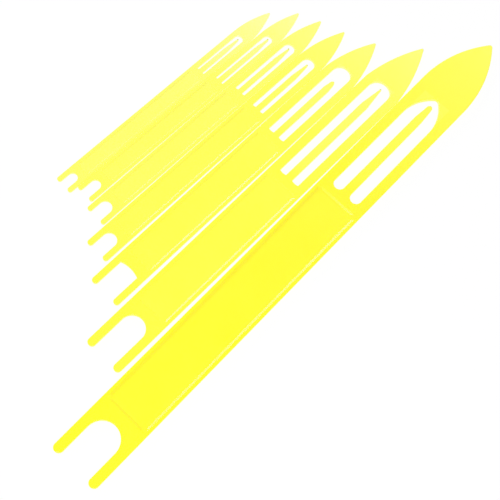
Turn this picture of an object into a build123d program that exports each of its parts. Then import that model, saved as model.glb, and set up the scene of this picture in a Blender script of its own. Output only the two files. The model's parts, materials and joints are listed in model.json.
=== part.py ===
"""A set of seven flat plastic netting needles, graded by size and laid side by side.

Each needle is a one-piece moulding: a forked tail, a shaft with a thin web between two
raised rims, and a pointed head with a window. A springy tongue stands in the window.
The tongue is a solid of its own, because it flexes about its root when twine is wound on.
Lengths are in millimetres and angles in degrees. Every list runs from the largest needle
to the smallest.
"""
from build123d import *
from math import cos, radians, sin, tan
import os

# The largest needle
largest_length = 280.0
largest_width = 25.7
largest_thickness = 2.6
largest_head_length = 38.6
largest_head_bulge = 3.3
largest_point_radius = 1.2
largest_nose_length = 41.7
largest_window_length = 68.0
largest_side_bar_width = 5.0
largest_window_arch_length = 16.2
largest_window_apex_radius = 1.5
largest_slot_corner_radius = 2.4
largest_slot_width = 5.6
largest_tongue_waist_width = 4.1
largest_tongue_tip_width = 2.5
largest_tongue_tip_gap = 5.2
largest_tongue_taper_length = 9.4
largest_flex_root_length = 9.4
largest_tine_width = 4.7
largest_fork_depth = 24.8
largest_fork_arch_depth = 8.1
largest_fork_corner_radius = 0.3
largest_rim_width = 1.5
largest_web_thickness = 1.4
largest_web_band = 4.0
largest_fork_band = 6.0
largest_web_corner_radius = 1.6

# The set, from the largest needle to the smallest: its plan
lengths = [largest_length, 213.6, 178.6, 161.6, 146.8, 138.4, 132.2]
widths = [largest_width, 19.9, 16.7, 12.7, 11.0, 9.55, 9.3]
thicknesses = [largest_thickness, 2.3, 2.1, 1.9, 1.8, 1.7, 1.7]

# The head, from the shoulder where it starts to narrow to the point
head_lengths = [largest_head_length, 31.0, 26.4, 24.8, 23.4, 21.6, 20.8]
head_bulges = [largest_head_bulge, 1.5, 1.3, 1.2, 1.1, 1.0, 1.0]
point_radii = [largest_point_radius, 0.7, 0.7, 0.6, 0.6, 0.6, 0.6]

# The window and the solid nose in front of it
nose_lengths = [largest_nose_length, 28.1, 20.8, 23.0, 20.3, 20.1, 20.0]
window_lengths = [largest_window_length, 68.0, 49.3, 37.2, 35.6, 34.2, 27.0]
side_bar_widths = [largest_side_bar_width, 4.3, 3.65, 3.05, 2.6, 2.4, 2.45]
window_arch_lengths = [largest_window_arch_length, 5.7, 4.7, 3.3, 2.9, 2.3, 2.1]
window_apex_radii = [largest_window_apex_radius, 0, 0, 0, 0, 0, 0]
slot_corner_radii = [largest_slot_corner_radius, 0.4, 0.4, 0.4, 0.4, 0.4, 0.4]

# The tongue in the window
slot_widths = [largest_slot_width, 3.75, 3.15, 1.9, 1.6, 1.1, 1.0]
tongue_waist_widths = [largest_tongue_waist_width, 3.7, 3.2, 2.6, 2.5, 2.3, 2.2]
tongue_tip_widths = [largest_tongue_tip_width, 0.8, 1.8, 0.8, 0.8, 0.8, 0.8]
tongue_tip_gaps = [largest_tongue_tip_gap, 3.8, 9.7, 3.5, 2.5, 1.7, 2.2]
tongue_taper_lengths = [largest_tongue_taper_length, 11.5, 5.0, 9.0, 8.7, 8.0, 8.0]
flex_root_lengths = [largest_flex_root_length, 9.4, 6.0, 5.0, 4.9, 4.8, 3.8]
flex_clearance = 0.06

# The forked tail
tine_widths = [largest_tine_width, 3.9, 3.1, 2.75, 2.3, 2.2, 2.25]
fork_depths = [largest_fork_depth, 24.0, 16.1, 11.4, 9.4, 9.2, 8.0]
fork_arch_depths = [largest_fork_arch_depth, 5.2, 1.0, 2.9, 2.8, 2.3, 2.1]
fork_corner_radii = [largest_fork_corner_radius, 0.3, 0.3, 0.3, 0.3, 0.3, 0.3]
tine_round_share = 0.44

# The web between the rims of the shaft
rim_widths = [largest_rim_width, 1.4, 1.3, 1.2, 1.1, 1.1, 1.1]
web_thicknesses = [largest_web_thickness, 1.3, 1.2, 1.1, 1.0, 1.0, 1.0]
web_bands = [largest_web_band, 3.9, 3.6, 3.0, 4.2, 4.1, 2.9]
fork_bands = [largest_fork_band, 5.0, 4.5, 4.0, 3.5, 3.5, 3.5]
web_corner_radii = [largest_web_corner_radius, 1.4, 1.3, 1.2, 1.0, 0.9, 0.9]
edge_round = 0.4
web_wall_angle = 30.0

# How the needles lie: each one beside the next larger one
tail_staggers = [41.0, 20.4, 10.4, 10.8, 3.6, -4.2]
fan_angles = [0.62, 0.67, 0.53, 0.29, 0.31, 0.0]
side_clearance = 0.15

cut_overrun = 1.0


class Needle:
    """The sizes of one needle, and the places along its axis that follow from them."""

    def __init__(self, number):
        row = number - 1
        self.number = number
        self.length = lengths[row]
        self.width = widths[row]
        self.thickness = thicknesses[row]
        self.head_bulge = head_bulges[row]
        self.point_radius = point_radii[row]
        self.shoulder_x = self.length - head_lengths[row]
        self.window_end_x = self.length - nose_lengths[row]
        self.window_x = self.window_end_x - window_lengths[row]
        self.window_width = self.width - 2 * side_bar_widths[row]
        self.arch_length = window_arch_lengths[row]
        self.apex_radius = window_apex_radii[row]
        self.slot_corner = slot_corner_radii[row]
        self.tongue_root_width = self.window_width - 2 * slot_widths[row]
        self.tongue_waist_width = tongue_waist_widths[row]
        self.tongue_tip_width = tongue_tip_widths[row]
        self.tongue_tip_x = self.window_end_x - tongue_tip_gaps[row]
        self.tongue_waist_x = self.tongue_tip_x - tongue_taper_lengths[row]
        self.flex_x = self.window_x + flex_root_lengths[row]
        self.tine_width = tine_widths[row]
        self.fork_gap = self.width - 2 * self.tine_width
        self.fork_depth = fork_depths[row]
        self.fork_arch_depth = fork_arch_depths[row]
        self.fork_corner = fork_corner_radii[row]
        self.web_start_x = self.fork_depth + fork_bands[row]
        self.web_end_x = self.window_x - web_bands[row]
        self.web_width = self.width - 2 * rim_widths[row]
        self.web_corner = web_corner_radii[row]
        self.recess_depth = (self.thickness - web_thicknesses[row]) / 2


def bulged_arc(start, end, bulge):
    """An arc from start to end that stands off its chord by the bulge, on the left."""
    chord = Vector(*end) - Vector(*start)
    outward = Vector(-chord.Y, chord.X).normalized()
    middle = Vector(*start) + chord * 0.5 + outward * bulge
    return ThreePointArc(start, middle, end)


def pointed_arch(base_x, half_width, apex_x):
    """Two arcs that leave the sides of a window in line and meet at its apex."""
    reach = apex_x - base_x
    radius = (reach ** 2 + half_width ** 2) / (2 * half_width)
    half_reach = reach / 2
    drop = radius - (radius ** 2 - half_reach ** 2) ** 0.5
    middle_x = base_x + half_reach
    middle_y = half_width - drop
    left = ThreePointArc((base_x, half_width), (middle_x, middle_y), (apex_x, 0))
    right = ThreePointArc((apex_x, 0), (middle_x, -middle_y), (base_x, -half_width))
    return [left, right]


def blade_face(n):
    """The outline of a needle: two tines, a straight shaft and a leaf-shaped head."""
    half = n.width / 2
    gap = n.fork_gap / 2
    arch_x = n.fork_depth - n.fork_arch_depth
    edges = [
        Line((0, half), (n.shoulder_x, half)),
        bulged_arc((n.shoulder_x, half), (n.length, 0), n.head_bulge),
        bulged_arc((n.length, 0), (n.shoulder_x, -half), n.head_bulge),
        Line((n.shoulder_x, -half), (0, -half)),
        Line((0, -half), (0, -gap)),
        Line((0, -gap), (arch_x, -gap)),
        ThreePointArc((arch_x, -gap), (n.fork_depth, 0), (arch_x, gap)),
        Line((arch_x, gap), (0, gap)),
        Line((0, gap), (0, half)),
    ]
    face = make_face(edges)
    face = fillet(face.vertices().group_by(Axis.X)[-1], n.point_radius)
    face = fillet(face.vertices().group_by(Axis.X)[0], n.tine_width * tine_round_share)
    crotch = [v for v in face.vertices() if abs(v.X - arch_x) < n.fork_corner and abs(v.Y) < half]
    return fillet(crotch, n.fork_corner)


def window_face(n):
    """The opening in the head, without the strip that carries the tongue."""
    half = n.window_width / 2
    arch_x = n.window_end_x - n.arch_length
    if n.apex_radius > 0:
        arch = pointed_arch(arch_x, half, n.window_end_x)
    else:
        arch = [ThreePointArc((arch_x, half), (n.window_end_x, 0), (arch_x, -half))]
    edges = arch + [
        Line((arch_x, -half), (n.window_x, -half)),
        Line((n.window_x, -half), (n.window_x, half)),
        Line((n.window_x, half), (arch_x, half)),
    ]
    face = make_face(edges)
    if n.apex_radius > 0:
        face = fillet(face.vertices().group_by(Axis.X)[-1], n.apex_radius)
    stub_length = n.flex_x - n.window_x
    strip = Pos(n.window_x + stub_length / 2, 0) * Rectangle(stub_length, n.tongue_root_width)
    face = face - strip
    return fillet(face.vertices().group_by(Axis.X)[0], n.slot_corner)


def web_outline(n, height):
    """The plan of the recess over the web, which widens with the height above the web."""
    spread = height / tan(radians(web_wall_angle))
    floor_spread = n.recess_depth / tan(radians(web_wall_angle))
    growth = 2 * (spread - floor_spread)
    length = n.web_end_x - n.web_start_x + growth
    width = n.web_width + growth
    return Pos(0, 0, height) * RectangleRounded(length, width, n.web_corner + spread)


def recess_tool(n):
    """What is taken out above the web: a shallow tray with sloping walls."""
    faces = [web_outline(n, 0).face(), web_outline(n, n.recess_depth + cut_overrun).face()]
    middle = (n.web_start_x + n.web_end_x) / 2
    return Pos(middle, 0, 0) * loft(faces, ruled=True)


def flex_cylinder(n, radius, width):
    """A round bar across the needle at the flex line of the tongue."""
    return Pos(n.flex_x, 0, n.thickness / 2) * Rot(90, 0, 0) * Cylinder(radius, width)


def needle_frame(n):
    """The rigid part of a needle: tail, shaft, head and the short root of the tongue."""
    plate = extrude(blade_face(n) - window_face(n), n.thickness)
    rims = plate.edges().group_by(Axis.Z)
    plate = fillet(rims[0] + rims[-1], edge_round)
    tool = recess_tool(n)
    upper = Pos(0, 0, n.thickness - n.recess_depth) * tool
    lower = Pos(0, 0, n.recess_depth) * Rot(180, 0, 0) * tool
    plate = plate - upper - lower
    socket_width = n.tongue_root_width + 2 * flex_clearance
    socket = flex_cylinder(n, n.thickness / 2 + flex_clearance, socket_width)
    return plate - socket


def needle_tongue(n):
    """The springy tongue, from its flex line to its tip, with a rounded root."""
    root = n.tongue_root_width / 2
    waist = n.tongue_waist_width / 2
    tip = n.tongue_tip_width / 2
    outline = Polyline(
        (n.flex_x, -root), (n.tongue_waist_x, -waist), (n.tongue_tip_x, -tip),
        (n.tongue_tip_x, tip), (n.tongue_waist_x, waist), (n.flex_x, root), close=True)
    face = make_face(outline)
    face = fillet(face.vertices().group_by(Axis.X)[-1], n.tongue_tip_width * tine_round_share)
    blade = extrude(face, n.thickness)
    knuckle = flex_cylinder(n, n.thickness / 2, n.tongue_root_width)
    return blade + knuckle


def needle_places(needles):
    """Each needle's place: its shoulder stands beside the next larger needle's side."""
    places = [Location((0, 0, 0))]
    for larger, needle, stagger, angle in zip(needles, needles[1:], tail_staggers, fan_angles):
        turn = radians(angle)
        offset = larger.width / 2 + side_clearance + needle.width / 2 * cos(turn)
        offset += needle.shoulder_x * sin(turn)
        places.append(places[-1] * Location((stagger, offset, 0), (0, 0, -angle)))
    return places


needles = [Needle(number) for number in range(1, len(lengths) + 1)]
places = needle_places(needles)
solids = {}
for needle, place in zip(needles, places):
    solids[f"needle_{needle.number}_frame"] = place * needle_frame(needle)
    solids[f"needle_{needle.number}_tongue"] = place * needle_tongue(needle)

# The origin lies under the middle of the whole set's box
box = Compound(list(solids.values())).bounding_box()
shift = Location((-(box.min.X + box.max.X) / 2, -(box.min.Y + box.max.Y) / 2, 0))

os.makedirs("parts", exist_ok=True)
for name, solid in solids.items():
    export_step(shift * solid, f"parts/{name}.step")

for needle, place in zip(needles, places):
    pivot = shift * place * Location((needle.flex_x, 0, needle.thickness / 2))
    print(needle.number, "flex line at", pivot.position, "turned", pivot.orientation.Z)
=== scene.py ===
"""A graded set of seven yellow plastic netting needles, lying side by side on a white table."""
import json
from math import atan2, cos, radians, sin, tan

import bpy
from mathutils import Matrix, Vector


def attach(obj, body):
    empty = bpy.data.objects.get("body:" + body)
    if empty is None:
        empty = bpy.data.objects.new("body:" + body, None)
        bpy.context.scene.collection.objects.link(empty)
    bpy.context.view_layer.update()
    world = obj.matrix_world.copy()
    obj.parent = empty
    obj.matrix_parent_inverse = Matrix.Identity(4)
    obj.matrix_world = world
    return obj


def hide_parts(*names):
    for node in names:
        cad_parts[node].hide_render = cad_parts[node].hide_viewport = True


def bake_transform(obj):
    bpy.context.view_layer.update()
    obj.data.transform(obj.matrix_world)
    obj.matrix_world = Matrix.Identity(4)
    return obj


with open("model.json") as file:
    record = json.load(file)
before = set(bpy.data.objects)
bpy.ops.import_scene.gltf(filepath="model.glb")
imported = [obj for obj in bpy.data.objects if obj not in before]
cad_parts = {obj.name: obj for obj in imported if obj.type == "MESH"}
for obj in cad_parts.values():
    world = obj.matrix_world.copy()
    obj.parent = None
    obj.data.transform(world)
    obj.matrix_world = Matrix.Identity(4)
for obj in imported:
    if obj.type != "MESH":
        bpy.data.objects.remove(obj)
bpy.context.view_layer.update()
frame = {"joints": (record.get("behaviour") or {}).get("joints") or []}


# The needles without their tongues. Each is moulded of plastic in one piece: a forked tail, a
# shaft whose web is thinner than the two rims beside it, and a leaf-shaped head that is pierced
# by a window.
MM = 0.001

# Sizes in millimetres, from the largest needle to the smallest. A start, an end and a flex place
# are measured from the tail.
blade_sizes = {
    "Length": (279.2, 212.9, 177.9, 160.9, 146.0, 137.5, 131.3),
    "Width": (25.7, 19.9, 16.7, 12.7, 11.0, 9.55, 9.3),
    "Thickness": (2.6, 2.3, 2.1, 1.9, 1.8, 1.7, 1.7),
    "Head length": (37.8, 30.3, 25.7, 24.1, 22.6, 20.7, 19.9),
    "Head bulge": (3.3, 1.5, 1.3, 1.2, 1.1, 1.0, 1.0),
    "Point radius": (1.2, 0.7, 0.7, 0.6, 0.6, 0.6, 0.6),
    "Window start": (170.3, 117.5, 108.5, 101.4, 90.9, 84.1, 85.2),
    "Window end": (237.9, 185.5, 157.8, 138.6, 126.5, 118.3, 112.2),
    "Side bar": (5.0, 4.3, 3.65, 3.05, 2.6, 2.4, 2.45),
    "Arch length": (15.8, 5.7, 4.7, 3.3, 2.9, 2.3, 2.1),
    "Apex half width": (1.3, 2.85, 2.4, 1.7, 1.5, 1.2, 1.1),
    "Apex depth": (0.6, 0.76, 0.64, 0.45, 0.4, 0.32, 0.3),
    "Slot width": (5.6, 3.75, 3.15, 1.9, 1.6, 1.1, 1.0),
    "Slot round": (2.6, 0.35, 0.35, 0.3, 0.3, 0.25, 0.25),
    "Stub length": (3.6, 1.2, 1.1, 1.0, 1.0, 0.9, 0.9),
    "Tine width": (4.7, 3.9, 3.1, 2.75, 2.3, 2.2, 2.25),
    "Fork depth": (24.8, 24.0, 16.1, 11.4, 9.4, 9.2, 8.0),
    "Fork arch depth": (8.1, 5.2, 1.0, 2.9, 2.8, 2.3, 2.1),
    "Web start": (30.8, 29.0, 20.6, 15.4, 12.9, 12.7, 11.5),
    "Web end": (166.3, 113.6, 104.9, 98.4, 86.7, 80.0, 82.3),
    "Rim width": (1.5, 1.4, 1.3, 1.2, 1.1, 1.1, 1.1),
    "Web corner": (1.6, 1.4, 1.3, 1.2, 1.0, 0.9, 0.9),
    "Web thickness": (1.4, 1.3, 1.2, 1.1, 1.0, 1.0, 1.0),
}
flex_places = (179.7, 126.9, 114.5, 106.4, 95.8, 88.9, 89.0)
edge_rounds = (0.4, 0.38, 0.34, 0.3, 0.28, 0.26, 0.26)

# Where the rounded point meets the sides of the head, as shares of the point's radius
point_back_share = 0.4
point_side_share = 0.8

# The walls round the web, and the least turn of the surface that counts as an edge
web_wall_slope = tan(radians(30))
crease_angle = radians(26)
least_rim_angle = radians(57)
least_bevel_angle = radians(20)

# How the meshes are made: close points are merged, and curves are cut into short steps
merge_distance = 0.01 * MM
cut_overrun = 1.0 * MM
long_arc_steps = 24
short_arc_steps = 10
web_corner_steps = 8
blade_round_steps = 4
upward = (0.0, 0.0, 1.0)
mirror = (1.0, -1.0, 1.0)


class Link:
    """An output of a node: arithmetic on it adds the Math nodes that work it out."""

    def __init__(self, plan, socket):
        self.plan = plan
        self.socket = socket

    def math(self, operation, *values):
        """Adds one Math node and gives back its result."""
        sockets = dict(enumerate(values))
        return self.plan.add("ShaderNodeMath", {"operation": operation}, sockets)[0]

    def __add__(self, other):
        return self.math("ADD", self, other)

    def __radd__(self, other):
        return self.math("ADD", other, self)

    def __sub__(self, other):
        return self.math("SUBTRACT", self, other)

    def __rsub__(self, other):
        return self.math("SUBTRACT", other, self)

    def __mul__(self, other):
        return self.math("MULTIPLY", self, other)

    def __rmul__(self, other):
        return self.math("MULTIPLY", other, self)

    def __truediv__(self, other):
        return self.math("DIVIDE", self, other)

    def __pow__(self, other):
        return self.math("POWER", self, other)

    def __neg__(self):
        return self.math("MULTIPLY", self, -1.0)

    def __abs__(self):
        return self.math("ABSOLUTE", self)

    def root(self):
        return self.math("SQRT", self)

    def least(self, other):
        return self.math("MINIMUM", self, other)

    def most(self, other):
        return self.math("MAXIMUM", self, other)

    def below(self, other):
        return self.math("LESS_THAN", self, other)

    def above(self, other):
        return self.math("GREATER_THAN", self, other)


class Plan:
    """A node tree under construction."""

    def __init__(self, tree):
        self.tree = tree

    def add(self, kind, settings=None, sockets=None):
        """Adds a node, sets it up, then gives its sockets their values or links."""
        node = self.tree.nodes.new(kind)
        for name, value in (settings or {}).items():
            setattr(node, name, value)
        for name, value in (sockets or {}).items():
            items = value if isinstance(value, list) else [value]
            for item in items:
                if isinstance(item, Link):
                    self.tree.links.new(item.socket, node.inputs[name])
                else:
                    node.inputs[name].default_value = item
        return [Link(self, output) for output in node.outputs]

    def point(self, x, y, z=0.0):
        return self.add("ShaderNodeCombineXYZ", None, {"X": x, "Y": y, "Z": z})[0]

    def line(self, start, end):
        return self.add("GeometryNodeCurvePrimitiveLine", None, {"Start": start, "End": end})[0]

    def arc(self, start, middle, end, steps=long_arc_steps):
        sockets = {"Resolution": steps, "Start": start, "Middle": middle, "End": end}
        return self.add("GeometryNodeCurveArc", {"mode": "POINTS"}, sockets)[0]

    def join(self, parts):
        return self.add("GeometryNodeJoinGeometry", None, {0: parts})[0]

    def merge(self, mesh):
        sockets = {"Geometry": mesh, "Distance": merge_distance}
        return self.add("GeometryNodeMergeByDistance", None, sockets)[0]

    def slab(self, outline, height):
        """A closed solid over a flat outline that lies at height zero."""
        face = self.add("GeometryNodeFillCurve", {"mode": "NGONS"}, {"Curve": outline})[0]
        sockets = {"Mesh": face, "Offset": upward, "Offset Scale": height, "Individual": False}
        raised = self.add("GeometryNodeExtrudeMesh", None, sockets)[0]
        underside = self.add("GeometryNodeFlipFaces", None, {"Mesh": face})[0]
        return self.merge(self.join([raised, underside]))

    def mark_rims(self, mesh):
        """Gives the level edges of a slab, above and below, the weight that rounds them."""
        ends = self.add("GeometryNodeInputMeshEdgeVertices")
        heights = [self.add("ShaderNodeSeparateXYZ", None, {"Vector": end})[2] for end in ends[2:4]]
        level = abs(heights[0] - heights[1]).below(merge_distance)
        sharp = self.add("GeometryNodeInputMeshEdgeAngle")[0].above(least_rim_angle)
        settings = {"data_type": "FLOAT", "domain": "EDGE"}
        sockets = {"Geometry": mesh, "Name": "bevel_weight_edge", "Value": level * sharp}
        return self.add("GeometryNodeStoreNamedAttribute", settings, sockets)[0]


def new_tree(name, size_names):
    """A Geometry Nodes tree with a number input for each size, and its plan and inputs."""
    tree = bpy.data.node_groups.new(name, "GeometryNodeTree")
    tree.interface.new_socket("Geometry", in_out="INPUT", socket_type="NodeSocketGeometry")
    for size_name in size_names:
        tree.interface.new_socket(size_name, in_out="INPUT", socket_type="NodeSocketFloat")
    tree.interface.new_socket("Material", in_out="INPUT", socket_type="NodeSocketMaterial")
    tree.interface.new_socket("Geometry", in_out="OUTPUT", socket_type="NodeSocketGeometry")
    plan = Plan(tree)
    outputs = plan.add("NodeGroupInput")
    return tree, plan, {link.socket.name: link for link in outputs}


def finish_tree(plan, geometry, size):
    """Ends a tree: makes the geometry real and gives it its material."""
    real = plan.add("GeometryNodeRealizeInstances", None, {0: geometry})[0]
    sockets = {"Geometry": real, "Material": size["Material"]}
    dressed = plan.add("GeometryNodeSetMaterial", None, sockets)[0]
    plan.add("NodeGroupOutput", None, {0: dressed})


def lay_down(plan, geometry, size):
    """Smooths a needle's geometry and puts it where the needle lies."""
    smooth = plan.add("GeometryNodeSetShadeSmooth", None, {0: geometry})[0]
    move = plan.point(size["Place x"], size["Place y"])
    turn = plan.point(0.0, 0.0, size["Turn"])
    sockets = {"Geometry": smooth, "Translation": move, "Rotation": turn}
    return plan.add("GeometryNodeTransform", None, sockets)[0]


def blade_tree():
    """The moulded plate: its outline and its window, filled and raised to its thickness."""
    names = [name for name in blade_sizes if not name.startswith("Web") and name != "Rim width"]
    tree, plan, size = new_tree("needle_blade", names)
    point, line, arc = plan.point, plan.line, plan.arc
    half = size["Width"] / 2
    tine_radius = size["Tine width"] / 2
    gap = half - size["Tine width"]
    fork_end = size["Fork depth"] - size["Fork arch depth"]
    shoulder = size["Length"] - size["Head length"]
    tip_x = size["Length"] - size["Point radius"] * point_back_share
    tip_y = size["Point radius"] * point_side_share
    run = tip_x - shoulder
    drop = half - tip_y
    chord = (run * run + drop * drop).root()
    bulge_x = (shoulder + tip_x) / 2 + drop / chord * size["Head bulge"]
    bulge_y = (half + tip_y) / 2 + run / chord * size["Head bulge"]
    opening = half - size["Side bar"]
    tongue = opening - size["Slot width"]
    arch_x = size["Window end"] - size["Arch length"]
    apex_x = size["Window end"] - size["Apex depth"]
    apex_y = size["Apex half width"]
    reach = apex_x - arch_x
    fall = opening - apex_y
    radius = (reach * reach + fall * fall) / (fall * 2)
    middle_y = opening - radius + (radius * radius - reach * reach / 4).root()
    slot_x = size["Window start"] + size["Slot round"]
    stub_x = size["Window start"] + size["Stub length"]
    one_side = plan.join([
        line(point(fork_end, gap), point(tine_radius, gap)),
        arc(point(tine_radius, gap), point(0.0, gap + tine_radius), point(tine_radius, half)),
        line(point(tine_radius, half), point(shoulder, half)),
        arc(point(shoulder, half), point(bulge_x, bulge_y), point(tip_x, tip_y)),
        arc(point(arch_x, opening), point(arch_x + reach / 2, middle_y), point(apex_x, apex_y)),
        line(point(arch_x, opening), point(slot_x, opening)),
        arc(point(slot_x, opening), point(size["Window start"], (opening + tongue) / 2),
            point(slot_x, tongue), short_arc_steps),
        line(point(slot_x, tongue), point(stub_x, tongue)),
    ])
    sockets = {"Geometry": one_side, "Scale": mirror}
    other_side = plan.add("GeometryNodeTransform", None, sockets)[0]
    across = [
        arc(point(fork_end, gap), point(size["Fork depth"], 0.0), point(fork_end, -gap)),
        arc(point(tip_x, tip_y), point(size["Length"], 0.0), point(tip_x, -tip_y), short_arc_steps),
        arc(point(apex_x, apex_y), point(size["Window end"], 0.0), point(apex_x, -apex_y)),
        line(point(stub_x, tongue), point(stub_x, -tongue)),
    ]
    pieces = plan.join([one_side, other_side] + across)
    wires = plan.add("GeometryNodeCurveToMesh", None, {"Curve": pieces})[0]
    outline = plan.add("GeometryNodeMeshToCurve", None, {"Mesh": plan.merge(wires)})[0]
    plate = plan.slab(outline, size["Thickness"])
    finish_tree(plan, plan.mark_rims(plate), size)
    return tree


def web_tree():
    """Sinks the web into both faces of the plate, with walls that slope outwards."""
    names = ["Width", "Thickness", "Rim width", "Web start", "Web end", "Web corner",
             "Web thickness", "Place x", "Place y", "Turn"]
    tree, plan, size = new_tree("needle_web", names)
    depth = (size["Thickness"] - size["Web thickness"]) / 2
    run = depth / web_wall_slope
    length = size["Web end"] - size["Web start"] - run * 2
    width = size["Width"] - size["Rim width"] * 2 - run * 2
    sockets = {"Width": length, "Height": width}
    kind = "GeometryNodeCurvePrimitiveQuadrilateral"
    sheet = plan.add(kind, {"mode": "RECTANGLE"}, sockets)[0]
    sockets = {"Curve": sheet, "Count": web_corner_steps, "Radius": size["Web corner"]}
    rounded = plan.add("GeometryNodeFilletCurve", {"mode": "POLY"}, sockets)[0]
    tray = plan.slab(rounded, depth + cut_overrun)
    position = plan.add("GeometryNodeInputPosition")[0]
    x, y, z = plan.add("ShaderNodeSeparateXYZ", None, {"Vector": position})
    spread = z / web_wall_slope * 2
    flared = plan.point(x * (spread / length + 1.0), y * (spread / width + 1.0), z)
    cutter = plan.add("GeometryNodeSetPosition", None, {"Geometry": tray, "Position": flared})[0]
    middle = (size["Web start"] + size["Web end"]) / 2
    cutters = []
    for floor, turn in ((size["Thickness"] - depth, 0.0), (depth, radians(180))):
        move = plan.point(middle, 0.0, floor)
        sockets = {"Geometry": cutter, "Translation": move, "Rotation": (turn, 0.0, 0.0)}
        cutters.append(plan.add("GeometryNodeTransform", None, sockets)[0])
    sockets = {"Mesh 1": size["Geometry"], "Mesh 2": cutters}
    settings = {"operation": "DIFFERENCE", "solver": "EXACT"}
    moulding = plan.add("GeometryNodeMeshBoolean", settings, sockets)[0]
    crease = plan.add("GeometryNodeInputMeshEdgeAngle")[0].above(crease_angle)
    sockets = {"Geometry": moulding, "Selection": crease, "Shade Smooth": False}
    creased = plan.add("GeometryNodeSetShadeSmooth", {"domain": "EDGE"}, sockets)[0]
    finish_tree(plan, lay_down(plan, creased, size), size)
    return tree


def needle_place(number):
    """Where a needle lies: the middle of its tail, and its turn, from its flex joint."""
    joint = next(j for j in frame["joints"] if j["name"] == f"tongue_{number}_flex")
    turn = atan2(joint["axis"][0], -joint["axis"][1])
    reach = flex_places[number - 1] * MM
    x, y, _ = joint["pos_m"]
    return Vector((x - reach * cos(turn), y - reach * sin(turn), 0.0)), turn


def sizes_of(number, table):
    """One needle's row of a table of sizes, in metres, with its place."""
    place, turn = needle_place(number)
    sizes = {name: row[number - 1] * MM for name, row in table.items()}
    sizes.update({"Place x": place.x, "Place y": place.y, "Turn": turn})
    return sizes


def add_nodes(piece, tree, values):
    """Puts a Geometry Nodes tree on a piece and sets its inputs by their names."""
    modifier = piece.modifiers.new(tree.name, "NODES")
    modifier.node_group = tree
    for item in tree.interface.items_tree:
        if item.in_out == "INPUT" and item.name in values:
            modifier[item.identifier] = values[item.name]


def add_bevel(piece, width, segments, limit):
    """Rounds the edges of a piece that have a bevel weight, or that are sharp."""
    bevel = piece.modifiers.new("round", "BEVEL")
    bevel.width = width
    bevel.segments = segments
    bevel.limit_method = limit
    bevel.angle_limit = least_bevel_angle
    bevel.use_clamp_overlap = False


def settle(piece):
    """Turns what the modifiers make into the piece's own mesh, and takes them off."""
    piece.modifiers.new("normals", "WEIGHTED_NORMAL").keep_sharp = True
    depsgraph = bpy.context.evaluated_depsgraph_get()
    piece.data = bpy.data.meshes.new_from_object(piece.evaluated_get(depsgraph))
    piece.modifiers.clear()


def new_piece(name):
    """An empty piece at the origin, for its modifiers to fill."""
    piece = bpy.data.objects.new(name, bpy.data.meshes.new(name))
    bpy.context.scene.collection.objects.link(piece)
    return piece


# The plastic: yellow and a little translucent, a deep yellow at the tail and paler towards the
# point. The tongue is a shade paler. The thin web is painted a shade paler: painted light that
# stands in for the white table showing through it. The upright edges get a painted glow, an
# emission that stands in for light travelling inside the plastic and leaving at its upright edges.
tail_colours = ((1.0, 0.86, 0.01), (1.0, 0.95, 0.04), (1.0, 0.95, 0.052), (1.0, 0.95, 0.07),
                (1.0, 0.95, 0.098), (1.0, 0.95, 0.096), (1.0, 0.95, 0.122))
point_colours = ((1.0, 0.97, 0.12), (1.0, 0.97, 0.19), (1.0, 0.97, 0.19), (1.0, 0.97, 0.17),
                 (1.0, 0.97, 0.22), (1.0, 0.97, 0.31), (1.0, 0.97, 0.35))

# How much paler the point, the web (painted light), the tongue and the clouds are, and how they fade
point_paleness_power = 4.0
painted_web_light = 0.05
tongue_paleness = 0.25
cloud_paleness = 0.16
cloud_middle = 0.5
cloud_look = {"Scale": 55.0, "Detail": 3.0}
web_blur = 0.6 * MM
tongue_fade_share = 0.1

# The painted glow at the edges, an emission that fades out as the surface leans over from upright
painted_edge_glow_strength = 0.6
upright_rise = 0.1
sloping_rise = 0.6
no_light = (0.0, 0.0, 0.0, 1.0)

# The surface: smooth, with a very fine grain, and open to a little light
grain_look = {"Scale": 900.0, "Detail": 2.0}
grain_strength = 0.04
grain_depth = 0.1 * MM
least_roughness = 0.12
roughness_change = 0.1
plastic_ior = 1.5
translucency = 0.25
light_reach = (1.0 * MM, 0.9 * MM, 0.3 * MM)
light_reach_scale = 1.0


def smooth_step(plan, value, low, high):
    """Rises smoothly from 0 to 1 while the value goes from low to high."""
    settings = {"interpolation_type": "SMOOTHSTEP"}
    sockets = {"Value": value, "From Min": low, "From Max": high}
    return plan.add("ShaderNodeMapRange", settings, sockets)[0]


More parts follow.
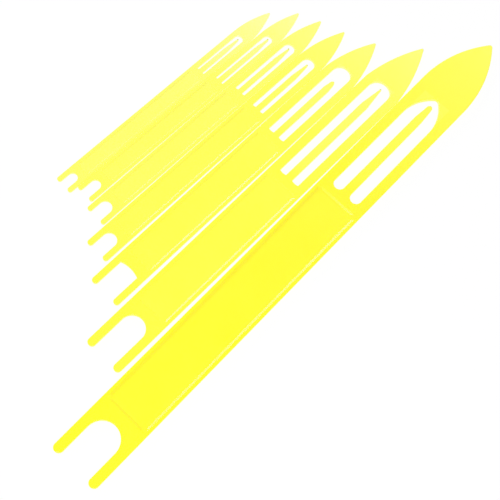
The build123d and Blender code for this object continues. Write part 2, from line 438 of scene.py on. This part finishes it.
def yellow_plastic(number):
    """The plastic of one needle, with its colours laid along the needle's own axis."""
    material = bpy.data.materials.new(f"yellow_plastic_{number}")
    material.use_nodes = True
    material.node_tree.nodes.clear()
    plan = Plan(material.node_tree)
    size = sizes_of(number, blade_sizes)
    coordinates = plan.add("ShaderNodeTexCoord")
    place = (size["Place x"], size["Place y"], 0.0)
    sockets = {"Vector": coordinates[3], "Location": place, "Rotation": (0.0, 0.0, size["Turn"])}
    own = plan.add("ShaderNodeMapping", {"vector_type": "TEXTURE"}, sockets)[0]
    x, y, z = plan.add("ShaderNodeSeparateXYZ", None, {"Vector": own})
    web_half = size["Width"] / 2 - size["Rim width"]
    web = 1.0 - smooth_step(plan, abs(y), web_half - web_blur, web_half)
    web = web * smooth_step(plan, x, size["Web start"], size["Web start"] + web_blur)
    web = web * (1.0 - smooth_step(plan, x, size["Web end"] - web_blur, size["Web end"]))
    tongue_half = size["Width"] / 2 - size["Side bar"]
    tongue_fade = size["Window start"] * tongue_fade_share
    tongue = 1.0 - smooth_step(plan, abs(y), tongue_half - web_blur, tongue_half)
    tongue = tongue * smooth_step(plan, x, size["Window start"], size["Window start"] + tongue_fade)
    tongue = tongue * (1.0 - smooth_step(plan, x, size["Window end"] - web_blur, size["Window end"]))
    cloud = plan.add("ShaderNodeTexNoise", None, {"Vector": own, **cloud_look})[0]
    # painted light: the web term paints the thin web paler, for the white table seen through it
    paleness = (x / size["Length"]) ** point_paleness_power + web * painted_web_light
    paleness = paleness + tongue * tongue_paleness + (cloud - cloud_middle) * cloud_paleness
    tail = tail_colours[number - 1] + (1.0,)
    point = point_colours[number - 1] + (1.0,)
    sockets = {0: paleness, 6: tail, 7: point}
    colour = plan.add("ShaderNodeMix", {"data_type": "RGBA"}, sockets)[2]
    # painted glow: upright faces emit the plastic's own colour, though the plastic is no lamp
    rise = plan.add("ShaderNodeSeparateXYZ", None, {"Vector": coordinates[1]})[2]
    edge = 1.0 - smooth_step(plan, abs(rise), upright_rise, sloping_rise)
    sockets = {0: edge, 6: no_light, 7: colour}
    painted_edge_glow = plan.add("ShaderNodeMix", {"data_type": "RGBA"}, sockets)[2]
    grain = plan.add("ShaderNodeTexNoise", None, {"Vector": own, **grain_look})[0]
    sockets = {"Strength": grain_strength, "Distance": grain_depth, "Height": grain}
    bump = plan.add("ShaderNodeBump", None, sockets)[0]
    sockets = {
        "Base Color": colour,
        "Roughness": cloud * roughness_change + least_roughness,
        "Normal": bump,
        # painted glow at the upright edges
        "Emission Color": painted_edge_glow,
        "Emission Strength": painted_edge_glow_strength,
        "IOR": plastic_ior,
        "Subsurface Weight": translucency,
        "Subsurface Radius": light_reach,
        "Subsurface Scale": light_reach_scale,
    }
    shader = plan.add("ShaderNodeBsdfPrincipled", None, sockets)[0]
    plan.add("ShaderNodeOutputMaterial", None, {"Surface": shader})
    return material


plastics = {}
needle_numbers = range(1, len(flex_places) + 1)
blade_nodes = blade_tree()
web_nodes = web_tree()
for number in needle_numbers:
    plastics[number] = yellow_plastic(number)
    blade = new_piece(f"blade_{number}")
    values = sizes_of(number, blade_sizes)
    values["Material"] = plastics[number]
    add_nodes(blade, blade_nodes, values)
    add_bevel(blade, edge_rounds[number - 1] * MM, blade_round_steps, "WEIGHT")
    add_nodes(blade, web_nodes, values)
    settle(blade)
    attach(blade, f"needle_{number}")
    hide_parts(f"needle_{number}_frame")


# The tongues: springy blades of the same plastic that stand in the windows, moulded on at their
# roots only. On the real needles the twine is looped over them, so they bend near the root and
# spring back. They are made a hair thinner than the needles, so that no face of theirs lies in a
# needle's face.
hair = 0.01
tongue_root_widths = []
for width, bar, slot in zip(blade_sizes["Width"], blade_sizes["Side bar"], blade_sizes["Slot width"]):
    tongue_root_widths.append(width - 2 * (bar + slot + hair))
tongue_sizes = {
    "Start": (173.2, 118.2, 109.2, 102.0, 91.5, 84.6, 85.7),
    "End": (233.1, 181.7, 148.1, 135.1, 124.0, 116.6, 110.0),
    "Root width": tongue_root_widths,
    "Waist place": (223.7, 170.2, 143.1, 126.1, 115.3, 108.6, 102.0),
    "Waist width": (4.1, 3.7, 3.2, 2.6, 2.5, 2.3, 2.2),
    "Tip width": (2.5, 0.8, 1.8, 0.8, 0.8, 0.8, 0.8),
    "Thickness": [thickness - 2 * hair for thickness in blade_sizes["Thickness"]],
}
tongue_edge_round = 0.32 * MM
tongue_steps = 90
tongue_round_steps = 3
half_cube = 0.5

# How blunt the tip ends, as a share of the square of its radius
blunt_tip_share = 0.12


def tongue_tree():
    """A bar that narrows from its root to a waist and from there to a rounded tip."""
    names = list(tongue_sizes) + ["Place x", "Place y", "Turn"]
    tree, plan, size = new_tree("needle_tongue", names)
    sockets = {"Size": (1.0, 1.0, 1.0), "Vertices X": tongue_steps, "Vertices Y": 2, "Vertices Z": 2}
    bar = plan.add("GeometryNodeMeshCube", None, sockets)[0]
    position = plan.add("GeometryNodeInputPosition")[0]
    x, y, z = plan.add("ShaderNodeSeparateXYZ", None, {"Vector": position})
    share = x + half_cube
    left_over = 1.0 - share
    along = size["Start"] + (size["End"] - size["Start"]) * (1.0 - left_over * left_over)
    down = (along - size["Start"]) / (size["Waist place"] - size["Start"])
    shaft = size["Root width"] + (size["Waist width"] - size["Root width"]) * down
    onward = (along - size["Waist place"]) / (size["End"] - size["Waist place"])
    taper = size["Waist width"] + (size["Tip width"] - size["Waist width"]) * onward
    tip_radius = size["Tip width"] / 2
    past = (along - size["End"] + tip_radius).most(0.0)
    round_square = tip_radius * tip_radius - past * past
    end_round = round_square.most(tip_radius * tip_radius * blunt_tip_share).root()
    width = shaft.least(taper) * end_round / tip_radius
    height = (z + half_cube) * size["Thickness"] + hair * MM
    moved = plan.point(along, y * width, height)
    sockets = {"Geometry": bar, "Position": moved}
    tongue = plan.add("GeometryNodeSetPosition", None, sockets)[0]
    finish_tree(plan, lay_down(plan, tongue, size), size)
    return tree


tongue_nodes = tongue_tree()
for number in needle_numbers:
    tongue = new_piece(f"tongue_{number}")
    values = sizes_of(number, tongue_sizes)
    values["Material"] = plastics[number]
    add_nodes(tongue, tongue_nodes, values)
    add_bevel(tongue, tongue_edge_round, tongue_round_steps, "ANGLE")
    settle(tongue)
    place, turn = needle_place(number)
    ahead = Vector((cos(turn), sin(turn), 0.0))
    blade_row = sizes_of(number, blade_sizes)
    bend_start = blade_row["Window start"] + blade_row["Stub length"]
    bend_end = 2 * flex_places[number - 1] * MM - bend_start
    start = place + ahead * bend_start
    end = place + ahead * bend_end
    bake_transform(tongue)
    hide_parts(f"needle_{number}_tongue")


# The table: a plain matt white surface under the needles. It is white to the camera and in
# gloss, but for a share that keeps the needles' faint shadow.
table_half = 1.5
table_white = (0.93, 0.93, 0.93, 1.0)
pure_white = (1.0, 1.0, 1.0, 1.0)
plain_strength = 1.0
white_share = 0.92


def table_material():
    """Matt white that shows as plain white wherever the camera or a reflection sees it."""
    material = bpy.data.materials.new("white_table")
    material.use_nodes = True
    material.node_tree.nodes.clear()
    plan = Plan(material.node_tree)
    path = plan.add("ShaderNodeLightPath")
    seen = path[0].most(path[3]) * white_share
    matt = plan.add("ShaderNodeBsdfDiffuse", None, {"Color": table_white})[0]
    sockets = {"Color": pure_white, "Strength": plain_strength}
    white = plan.add("ShaderNodeEmission", None, sockets)[0]
    surface = plan.add("ShaderNodeMixShader", None, {0: seen, 1: matt, 2: white})[0]
    plan.add("ShaderNodeOutputMaterial", None, {"Surface": surface})
    return material


table = new_piece("table")
corners = [(-table_half, -table_half, 0), (table_half, -table_half, 0),
           (table_half, table_half, 0), (-table_half, table_half, 0)]
table.data.from_pydata(corners, [], [(0, 1, 2, 3)])
table.data.materials.append(table_material())


# The light: a white surround, a broad lamp above the tails, and a long strip low down beyond
# the smallest needle, which the sloped walls of the webs reflect to the camera as fine lines.
surround_strength = 0.68
world = bpy.data.worlds.new("surround")
bpy.context.scene.world = world
world.use_nodes = True
world.node_tree.nodes.clear()
plan = Plan(world.node_tree)
sockets = {"Color": pure_white, "Strength": surround_strength}
light = plan.add("ShaderNodeBackground", None, sockets)[0]
sockets = {"Color": pure_white, "Strength": plain_strength}
backdrop = plan.add("ShaderNodeBackground", None, sockets)[0]
seen = plan.add("ShaderNodeLightPath")[0]
both = plan.add("ShaderNodeMixShader", None, {0: seen, 1: light, 2: backdrop})[0]
plan.add("ShaderNodeOutputWorld", None, {"Surface": both})

# The lamps face the middle of the row: places and sizes in metres, powers in watts
lamps = {
    "broad_lamp": {"place": (-0.5, -0.2, 0.7), "width": 0.5, "height": 0.5, "power": 3.6},
    "strip_lamp": {"place": (0.25, 0.85, 0.33), "width": 1.2, "height": 0.22, "power": 4.4},
}
for name, values in lamps.items():
    data = bpy.data.lights.new(name, "AREA")
    data.shape = "RECTANGLE"
    data.size = values["width"]
    data.size_y = values["height"]
    data.energy = values["power"]
    lamp = bpy.data.objects.new(name, data)
    bpy.context.scene.collection.objects.link(lamp)
    place = Vector(values["place"])
    lamp.location = place
    lamp.rotation_euler = (-place).to_track_quat("-Z", "Y").to_euler()


# The camera looks down on the row from the side of the largest needle. Its place and its aim
# are measured from the tail of that needle.
camera_place = Vector((4.35, -55.047, 428.826)) * MM
camera_aim = Vector((121.508, 12.959, 0.0)) * MM
camera_roll = radians(13.828)
camera_lens = 72.0
camera_sensor = 36.0
place, turn = needle_place(1)
data = bpy.data.cameras.new("camera")
data.lens = camera_lens
data.sensor_width = camera_sensor
camera = bpy.data.objects.new("camera", data)
bpy.context.scene.collection.objects.link(camera)
look = (camera_aim - camera_place).to_track_quat("-Z", "Y").to_matrix()
roll = Matrix.Rotation(camera_roll, 3, "Z")
camera.matrix_world = Matrix.Translation(place + camera_place) @ (look @ roll).to_4x4()
bpy.context.scene.camera = camera
bpy.context.scene.view_settings.view_transform = "Standard"
